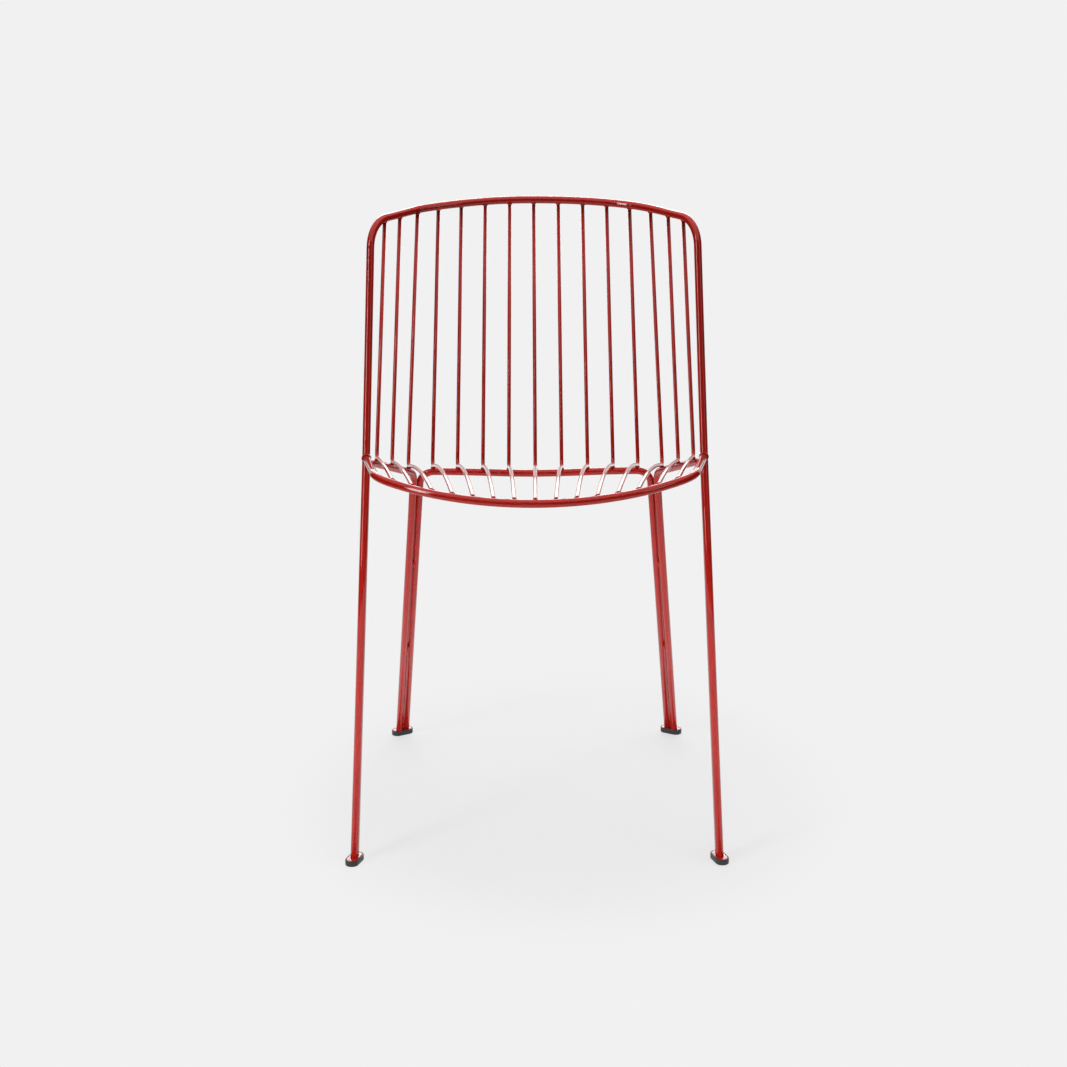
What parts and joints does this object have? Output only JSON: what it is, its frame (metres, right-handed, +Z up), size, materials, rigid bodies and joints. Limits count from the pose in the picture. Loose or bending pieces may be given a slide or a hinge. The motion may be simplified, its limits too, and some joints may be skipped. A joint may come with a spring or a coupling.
{
  "type": "metal dining chair",
  "caption": "Armless stacking bistro chair of bent steel rod with a seat and back of thin parallel wires, gloss red, on paired rod legs with plastic glides.",
  "frame": {"origin": "on the floor plane, at the centre of the chair's footprint box, midway between the left and right legs", "axes": "+Z up, the sitter faces -Y, +X to the right when the chair is seen from the front"},
  "size_m": [0.4764, 0.5044, 0.79],
  "materials": {
    "red_gloss_paint": "gloss",
    "black_glide_plastic": "satin"
  },
  "bodies": {
    "root": {"back_frame": "red_gloss_paint", "foot_plate_front_left": "red_gloss_paint", "foot_plate_front_right": "red_gloss_paint", "foot_plate_rear_left": "red_gloss_paint", "foot_plate_rear_right": "red_gloss_paint", "front_rail_weld_beads": "red_gloss_paint", "glide_front_left": "black_glide_plastic", "glide_front_right": "black_glide_plastic", "glide_rear_left": "black_glide_plastic", "glide_rear_right": "black_glide_plastic", "leg_weld_tacks": "red_gloss_paint", "rear_hoop": "red_gloss_paint", "rim_end_weld_beads": "red_gloss_paint", "seat_rim": "red_gloss_paint", "side_hoop_left": "red_gloss_paint", "side_hoop_right": "red_gloss_paint", "top_rail_weld_beads": "red_gloss_paint", "wire_crossing_weld_beads": "red_gloss_paint", "wire_left_1": "red_gloss_paint", "wire_left_2": "red_gloss_paint", "wire_left_3": "red_gloss_paint", "wire_left_4": "red_gloss_paint", "wire_left_5": "red_gloss_paint", "wire_left_6": "red_gloss_paint", "wire_left_7": "red_gloss_paint", "wire_middle": "red_gloss_paint", "wire_right_1": "red_gloss_paint", "wire_right_2": "red_gloss_paint", "wire_right_3": "red_gloss_paint", "wire_right_4": "red_gloss_paint", "wire_right_5": "red_gloss_paint", "wire_right_6": "red_gloss_paint", "wire_right_7": "red_gloss_paint"}
  },
  "joints": []
}
